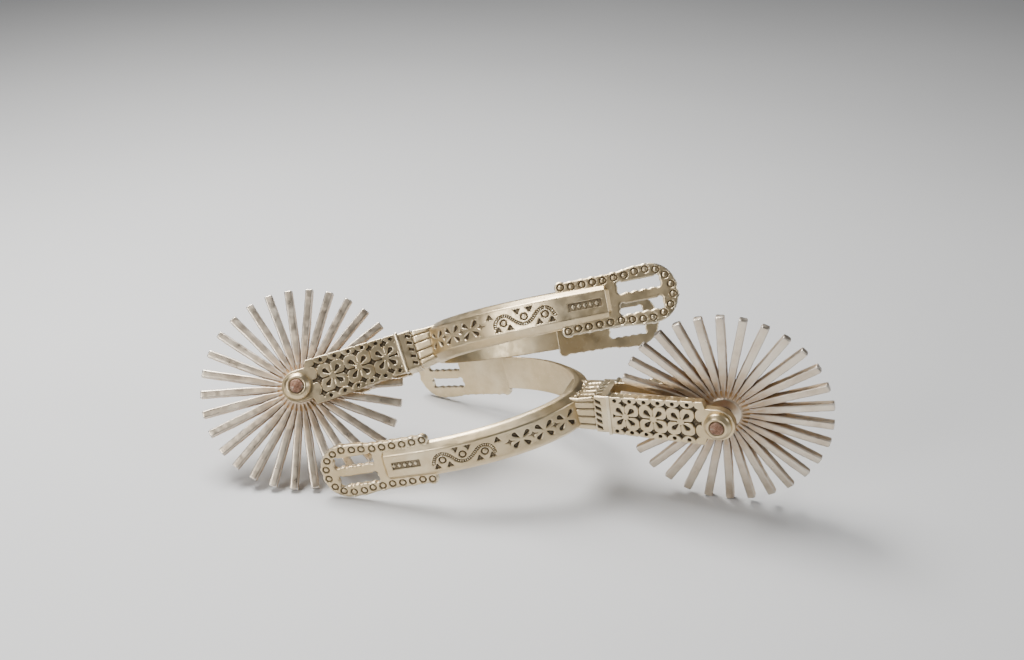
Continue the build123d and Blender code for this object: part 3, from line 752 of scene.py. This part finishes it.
def rowel(tag, S, material):
    shell = Shell()
    rs = np.random.RandomState(S["seed"])
    phase = S["phase"]
    pitch = 2 * math.pi / SPIKES
    # hub and web: V grooves between the spikes' roots, run out at a plain disc
    nr, na = 26, SPIKES * 12
    radii = np.concatenate([[3.3, 3.6, 4.6, 6.4, 7.3], np.linspace(7.9, 19.6, nr)])
    ang = np.linspace(0, 2 * math.pi, na, endpoint=False) + phase
    off = np.abs(((ang - phase) / pitch + 0.5) % 1 - 0.5) * 2          # 0 on a spike, 1 midway
    R = np.repeat(radii[:, None], na, 1)
    O = np.repeat(off[None, :], len(radii), 0)
    Tface = np.interp(R, [3.3, 3.6, 7.3, 7.9, 12, 19.6], [2.9, 3.2, 3.2, 2.62, 2.3, 2.0])
    arc = O * pitch * R / 2
    flat = np.interp(R, [7.9, 12, 16, 19.6], [0.12, 0.45, 0.95, 1.3])
    V = smooth((arc - flat) / np.maximum(pitch * R / 2 - flat, 0.15) * 1.15)
    deep = np.interp(R, [7.5, 8.4, 12.0, 16.0, 19.6], [0.0, 0.35, 0.95, 1.45, 2.2])
    Z = np.maximum(Tface - V * deep, 0.05)
    # midway between spikes the web ends sooner, in a round-bottomed notch
    R = R - np.clip((R - 13.0) / 6.6, 0, 1) * smooth((O - 0.35) / 0.65) * 2.6
    cutv = np.clip(V * deep, 0, 2) * 0.42
    A = np.repeat(ang[None, :], len(radii), 0)
    up = np.stack([R * np.cos(A), Z, R * np.sin(A)], -1)
    dn = np.stack([R * np.cos(A), -Z, R * np.sin(A)], -1)
    nrad = len(radii)
    P = np.concatenate([up, dn[::-1]], 0)
    i = np.arange(2 * nrad)[:, None]
    j = np.arange(na)[None, :]
    a = i * na + j
    b = i * na + (j + 1) % na
    c = ((i + 1) % (2 * nrad)) * na + (j + 1) % na
    d = ((i + 1) % (2 * nrad)) * na + j
    faces = np.stack([a, b, c, d], -1).reshape(-1, 4).tolist()
    tone = np.clip(P[..., 0] ** 2 + P[..., 2] ** 2, 0, None) ** 0.5 / TIP
    shell.add(P, faces, np.concatenate([cutv, cutv[::-1]], 0), tone)
    # spikes: filed bars, wider to the tip
    for k in range(SPIKES):
        th = phase + k * pitch + rs.uniform(-0.003, 0.003)
        lean = rs.uniform(-0.006, 0.006)
        tip = TIP - rs.uniform(0.0, 0.35)
        r = np.concatenate([np.linspace(11.0, tip - 0.75, 46), [tip - 0.5, tip - 0.25, tip - 0.08, tip]])
        w = np.interp(r, [11, 14, 17.5, 24, tip], [1.95, 2.75, 3.4, 3.7, 3.8]) + 0.07 * np.sin(r * 0.33 + rs.uniform(0, 6)) + rs.uniform(-.09, .09)
        t = np.interp(r, [11, 16.5, tip], [4.5, 4.35, 3.4]) + 0.06 * np.sin(r * 0.27 + rs.uniform(0, 6))
        end = np.concatenate([np.zeros(46), [0.03, 0.12, 0.32, 0.55]])
        w, t = w - end, t - end
        cx = 0.09 * np.sin(r * 0.12 + rs.uniform(0, 6)) * smooth((r - 16) / 8)
        cy = 0.08 * np.sin(r * 0.10 + rs.uniform(0, 6)) + lean * (r - 14)
        corners = [np.stack(q, 1) for q in ((-t / 2, -w / 2), (-t / 2, w / 2), (t / 2, w / 2), (t / 2, -w / 2))]
        ring, eid = rounded_ring(corners, [0.85, 0.85, 0.85, 0.85], [3, 3, 3, 3])
        y = ring[..., 0] + cy[:, None]
        z = ring[..., 1] + cx[:, None]
        # file facets
        q = 0.035 * wobble(np.repeat(r[:, None], ring.shape[1], 1) * 1.6, y * 3, 100 + k, 0.9)
        y = y * (1 + q)
        z = z * (1 + q)
        X = np.repeat(r[:, None], ring.shape[1], 1)
        wx = X * math.cos(th) - z * math.sin(th)
        wz = X * math.sin(th) + z * math.cos(th)
        # the flanks of a spike are painted darker than its faces, most near the root: painted shade, in the tarnish's
        # brown
        flank = smooth((np.abs(ring[..., 1]) - (w / 2 - 0.42)[:, None]) / 0.34)
        tarnish_and_painted_shade = flank * (0.5 + 0.55 * np.clip(1 - (X - 12) / 30.0, 0, 1))
        # the painted flank shade is stored as the spike's cut value
        shell.add(np.stack([wx, y, wz], -1), tube_faces(*X.shape), tarnish_and_painted_shade, X / TIP)
    Rm, c0 = S["R"], S["c"]
    return shell.build(tag + "_rowel_filed", lambda v: v @ Rm.T + c0, tag + "_rowel", S["wheel_body"],
                       material, angle=34)


# ---------------------------------------------------------------------------
# materials
# ---------------------------------------------------------------------------
class Nodes:
    def __init__(self, name):
        self.mat = bpy.data.materials.new(name)
        self.mat.use_nodes = True
        self.t = self.mat.node_tree
        self.t.nodes.clear()
        self.out = self.t.nodes.new("ShaderNodeOutputMaterial")
        self.bsdf = self.t.nodes.new("ShaderNodeBsdfPrincipled")
        self.t.links.new(self.bsdf.outputs[0], self.out.inputs[0])
        self.co = self.t.nodes.new("ShaderNodeTexCoord").outputs["Object"]

    def link(self, a, b):
        self.t.links.new(a, b)

    def attr(self, name):
        n = self.t.nodes.new("ShaderNodeAttribute")
        n.attribute_name = name
        return n.outputs["Fac"]

    def math(self, op, a, b=0.0, clamp=False):
        n = self.t.nodes.new("ShaderNodeMath")
        n.operation = op
        n.use_clamp = clamp
        for i, q in enumerate((a, b)):
            if isinstance(q, (int, float)):
                n.inputs[i].default_value = q
            else:
                self.link(q, n.inputs[i])
        return n.outputs[0]

    def noise(self, scale, detail=3.0, rough=0.55, stretch=None, distortion=0.0):
        n = self.t.nodes.new("ShaderNodeTexNoise")
        n.inputs["Scale"].default_value = scale
        n.inputs["Detail"].default_value = detail
        n.inputs["Roughness"].default_value = rough
        n.inputs["Distortion"].default_value = distortion
        if stretch is None:
            self.link(self.co, n.inputs["Vector"])
        else:
            m = self.t.nodes.new("ShaderNodeMapping")
            m.inputs["Rotation"].default_value = stretch[0]
            m.inputs["Scale"].default_value = stretch[1]
            self.link(self.co, m.inputs["Vector"])
            self.link(m.outputs[0], n.inputs["Vector"])
        return n.outputs["Fac"]

    def ramp(self, fac, stops):
        n = self.t.nodes.new("ShaderNodeValToRGB")
        e = n.color_ramp.elements
        while len(e) < len(stops):
            e.new(0.5)
        for q, (p, c) in zip(e, stops):
            q.position = p
            q.color = tuple(c) + (1,) if len(c) == 3 else c
        self.link(fac, n.inputs[0])
        return n.outputs[0]

    def map(self, v, a0, a1, b0, b1):
        n = self.t.nodes.new("ShaderNodeMapRange")
        n.interpolation_type = "SMOOTHSTEP"
        self.link(v, n.inputs[0])
        for i, q in enumerate((a0, a1, b0, b1)):
            n.inputs[i + 1].default_value = q
        return n.outputs[0]

    def mix(self, fac, a, b, mode="MIX"):
        n = self.t.nodes.new("ShaderNodeMix")
        n.data_type = "RGBA"
        n.blend_type = mode
        if isinstance(fac, (int, float)):
            n.inputs[0].default_value = fac
        else:
            self.link(fac, n.inputs[0])
        for i, q in ((6, a), (7, b)):
            if isinstance(q, tuple):
                n.inputs[i].default_value = q + (1,)
            else:
                self.link(q, n.inputs[i])
        return n.outputs[2]

    def bump(self, height, strength, distance, normal=None):
        n = self.t.nodes.new("ShaderNodeBump")
        n.inputs["Strength"].default_value = strength
        n.inputs["Distance"].default_value = distance
        self.link(height, n.inputs["Height"])
        if normal is not None:
            self.link(normal, n.inputs["Normal"])
        return n.outputs[0]


def white_brass():
    """Cast white brass: satin, warm grey-gold, patina and painted shade in the cuts and hollows, bright worn ridges,
    fine scratches.
    """
    N = Nodes("white_brass_satin")
    cut, hollow, ridge = N.attr("cut"), N.attr("hollow"), N.attr("ridge")
    big = N.noise(38, 4, 0.6)
    mid = N.noise(190, 5, 0.6)
    grain = N.noise(1500, 3, 0.6)
    s1 = N.noise(900, 2, 0.5, ((0.3, 0.2, 0.5), (1.0, 0.05, 1.0)))
    s2 = N.noise(1100, 2, 0.5, ((0.1, 0.5, -0.9), (0.05, 1.0, 1.0)))
    base = N.ramp(big, [(0.28, (0.56, 0.435, 0.25)), (0.5, (0.69, 0.555, 0.345)), (0.74, (0.78, 0.66, 0.455))])
    base = N.mix(N.map(mid, 0.42, 0.7, 0.0, 0.4), base, (0.60, 0.475, 0.29))
    base = N.mix(N.map(s1, 0.62, 0.75, 0.0, 0.35), base, (0.84, 0.76, 0.60))
    dark = N.ramp(mid, [(0.35, (0.035, 0.025, 0.016)), (0.65, (0.11, 0.082, 0.05))])
    # darker in the cuts and the hollows: patina, with painted shade in the recesses
    depth = N.math("ADD", N.map(cut, 0.10, 0.8, 0.0, 0.92), N.math("MULTIPLY", hollow, 0.55))
    tarnish_and_painted_shade = N.math("MULTIPLY", depth, N.map(mid, 0.25, 0.62, 0.72, 1.0), True)
    col = N.mix(tarnish_and_painted_shade, base, dark)
    worn = N.math("MULTIPLY", N.map(ridge, 0.12, 0.6, 0.0, 0.8), N.map(big, 0.3, 0.6, 0.55, 1.0), True)
    col = N.mix(worn, col, (0.90, 0.82, 0.66))
    N.link(col, N.bsdf.inputs["Base Color"])
    N.link(N.math("SUBTRACT", 1.0, N.math("MULTIPLY", tarnish_and_painted_shade, 0.55), True), N.bsdf.inputs["Metallic"])
    rough = N.math("ADD", N.map(mid, 0.3, 0.7, 0.30, 0.43), N.math("MULTIPLY", tarnish_and_painted_shade, 0.3))
    rough = N.math("SUBTRACT", rough, N.math("MULTIPLY", worn, 0.08), True)
    N.link(rough, N.bsdf.inputs["Roughness"])
    n = N.bump(mid, 0.25, 0.00025)
    n = N.bump(grain, 0.22, 0.00006, n)
    n = N.bump(s1, 0.28, 0.00004, n)
    n = N.bump(s2, 0.2, 0.00004, n)
    N.link(n, N.bsdf.inputs["Normal"])
    return N.mat


def rowel_steel():
    """Filed steel: grey faces, brown tarnish towards the hub, brown painted shade on the flanks, tarnish and painted
    shade in the grooves.
    """
    N = Nodes("rowel_steel_filed")
    cut, hollow, ridge, tone = N.attr("cut"), N.attr("hollow"), N.attr("ridge"), N.attr("tone")
    big = N.noise(60, 4, 0.6)
    mid = N.noise(330, 5, 0.62)
    fine_n = N.noise(2100, 3, 0.6)
    s1 = N.noise(700, 2, 0.5, ((0.2, 0.9, 0.4), (1.0, 0.06, 1.0)))
    base = N.ramp(big, [(0.3, (0.58, 0.47, 0.355)), (0.52, (0.80, 0.69, 0.55)), (0.75, (0.91, 0.83, 0.70))])
    warm = N.ramp(mid, [(0.35, (0.20, 0.098, 0.037)), (0.52, (0.41, 0.24, 0.105)), (0.72, (0.58, 0.39, 0.20))])
    # tarnish grows from the tips to the roots, and fades again on the hub's plain disc
    root = N.map(tone, 0.18, 0.72, 0.62, 0.0)
    hub = N.map(tone, 0.13, 0.20, 0.0, 1.0)
    root = N.math("MULTIPLY", root, hub)
    # the cut value (painted flank shade on the spikes, groove depth on the hub) and the hollows add painted shade to
    # the tarnish
    steel_tarnish_and_shade = N.math("ADD", root, N.math("MULTIPLY", cut, 0.85))
    steel_tarnish_and_shade = N.math("ADD", steel_tarnish_and_shade, N.math("MULTIPLY", hollow, 0.5))
    steel_tarnish_and_shade = N.math("MULTIPLY", steel_tarnish_and_shade, N.map(mid, 0.25, 0.62, 0.45, 1.1), True)
    col = N.mix(steel_tarnish_and_shade, base, warm)
    # near-black in the deepest cuts: painted shade together with the tarnish
    black = N.math("MULTIPLY", N.map(cut, 0.62, 1.2, 0.0, 0.6), N.map(big, 0.3, 0.6, 0.6, 1.0), True)
    col = N.mix(black, col, (0.10, 0.06, 0.035))
    worn = N.math("MULTIPLY", N.map(ridge, 0.1, 0.5, 0.0, 0.7), N.map(mid, 0.3, 0.6, 0.5, 1.0), True)
    col = N.mix(worn, col, (0.80, 0.78, 0.74))
    N.link(col, N.bsdf.inputs["Base Color"])
    N.link(N.math("SUBTRACT", 1.0, N.math("MULTIPLY", steel_tarnish_and_shade, 0.4), True), N.bsdf.inputs["Metallic"])
    N.link(N.math("ADD", N.map(mid, 0.3, 0.7, 0.27, 0.42), N.math("MULTIPLY", steel_tarnish_and_shade, 0.2), True),
           N.bsdf.inputs["Roughness"])
    n = N.bump(mid, 0.3, 0.00018)
    n = N.bump(fine_n, 0.2, 0.00005, n)
    n = N.bump(s1, 0.35, 0.00006, n)
    N.link(n, N.bsdf.inputs["Normal"])
    return N.mat


def pin_steel():
    """Peened pin ends: hammered, red-brown rust over grey."""
    N = Nodes("pin_steel_rusted")
    hollow, ridge = N.attr("hollow"), N.attr("ridge")
    mid = N.noise(620, 6, 0.68)
    fine_n = N.noise(2600, 4, 0.65)
    patch = N.noise(260, 3, 0.6)
    rust = N.ramp(mid, [(0.3, (0.10, 0.045, 0.028)), (0.5, (0.26, 0.135, 0.085)), (0.7, (0.40, 0.25, 0.17))])
    col = N.mix(N.map(patch, 0.52, 0.68, 0.0, 0.75), rust, (0.50, 0.43, 0.38))
    # near-black in the hollows: rust in the pits, with painted shade
    col = N.mix(N.math("MULTIPLY", hollow, 0.8, True), col, (0.05, 0.025, 0.018))
    col = N.mix(N.math("MULTIPLY", ridge, 0.5, True), col, (0.55, 0.45, 0.38))
    N.link(col, N.bsdf.inputs["Base Color"])
    N.link(N.map(patch, 0.5, 0.7, 0.55, 0.95), N.bsdf.inputs["Metallic"])
    N.link(N.map(mid, 0.3, 0.7, 0.62, 0.42), N.bsdf.inputs["Roughness"])
    n = N.bump(mid, 0.55, 0.0002)
    n = N.bump(fine_n, 0.4, 0.00006, n)
    N.link(n, N.bsdf.inputs["Normal"])
    return N.mat


BRASS, STEEL, PIN = white_brass(), rowel_steel(), pin_steel()

for tag, S in SPURS.items():
    heel_band(tag, S, BRASS)
    for side in (-1, 1):
        word = "near" if side == S["near"] else "far"
        strap_plate(tag, S, side, word, BRASS)
        pin_boss(tag, S, side, word, BRASS)
    rowel_fork(tag, S, BRASS)
    rowel_pin(tag, S, PIN)
    rowel(tag, S, STEEL)

# ---------------------------------------------------------------------------
# floor, light and camera
# ---------------------------------------------------------------------------
bm = bmesh.new()
bmesh.ops.create_grid(bm, x_segments=8, y_segments=8, size=4.0)
floor_mesh = bpy.data.meshes.new("floor")
bm.to_mesh(floor_mesh)
bm.free()
floor = bpy.data.objects.new("floor", floor_mesh)
floor.location = (0, 0, -0.0002)
bpy.context.scene.collection.objects.link(floor)
F = Nodes("floor_pale")
F.link(F.ramp(F.noise(3.0, 2, 0.5), [(0.3, (0.66, 0.67, 0.69)), (0.7, (0.70, 0.71, 0.73))]), F.bsdf.inputs["Base Color"])
F.bsdf.inputs["Roughness"].default_value = 0.75
floor_mesh.materials.append(F.mat)

world = bpy.data.worlds.new("studio")
bpy.context.scene.world = world
world.use_nodes = True
world.node_tree.nodes["Background"].inputs[0].default_value = (0.66, 0.665, 0.68, 1)
world.node_tree.nodes["Background"].inputs[1].default_value = 0.13


def soft_box(name, at, target, size, power, color=(1, 1, 1)):
    light = bpy.data.lights.new(name, "AREA")
    light.shape = "RECTANGLE"
    light.size, light.size_y = size
    light.energy = power
    light.color = color
    o = bpy.data.objects.new(name, light)
    o.location = at
    o.rotation_euler = (Vector(target) - Vector(at)).to_track_quat("-Z", "Y").to_euler()
    bpy.context.scene.collection.objects.link(o)


soft_box("key_overhead", (-0.30, 0.20, 0.72), (0, 0, 0.03), (0.50, 0.34), 13.0, (1.0, 0.98, 0.94))
soft_box("fill_front_left", (-0.75, -0.75, 0.55), (0, 0, 0.03), (0.36, 0.36), 5.4, (1.0, 0.975, 0.93))
soft_box("fill_right", (0.85, -0.35, 0.6), (0.05, 0, 0.03), (0.35, 0.35), 2.4, (0.97, 0.99, 1.0))

cam_data = bpy.data.cameras.new("camera")
cam_data.sensor_fit = "HORIZONTAL"
cam_data.sensor_width = 36.0
cam_data.lens = 48.764
cam_data.clip_start = 0.01
camera = bpy.data.objects.new("camera", cam_data)
camera.location = (0.002808, -0.577988, 0.347537)
camera.rotation_euler = (math.pi / 2 - 0.45485, 0, 0)
bpy.context.scene.collection.objects.link(camera)
bpy.context.scene.camera = camera
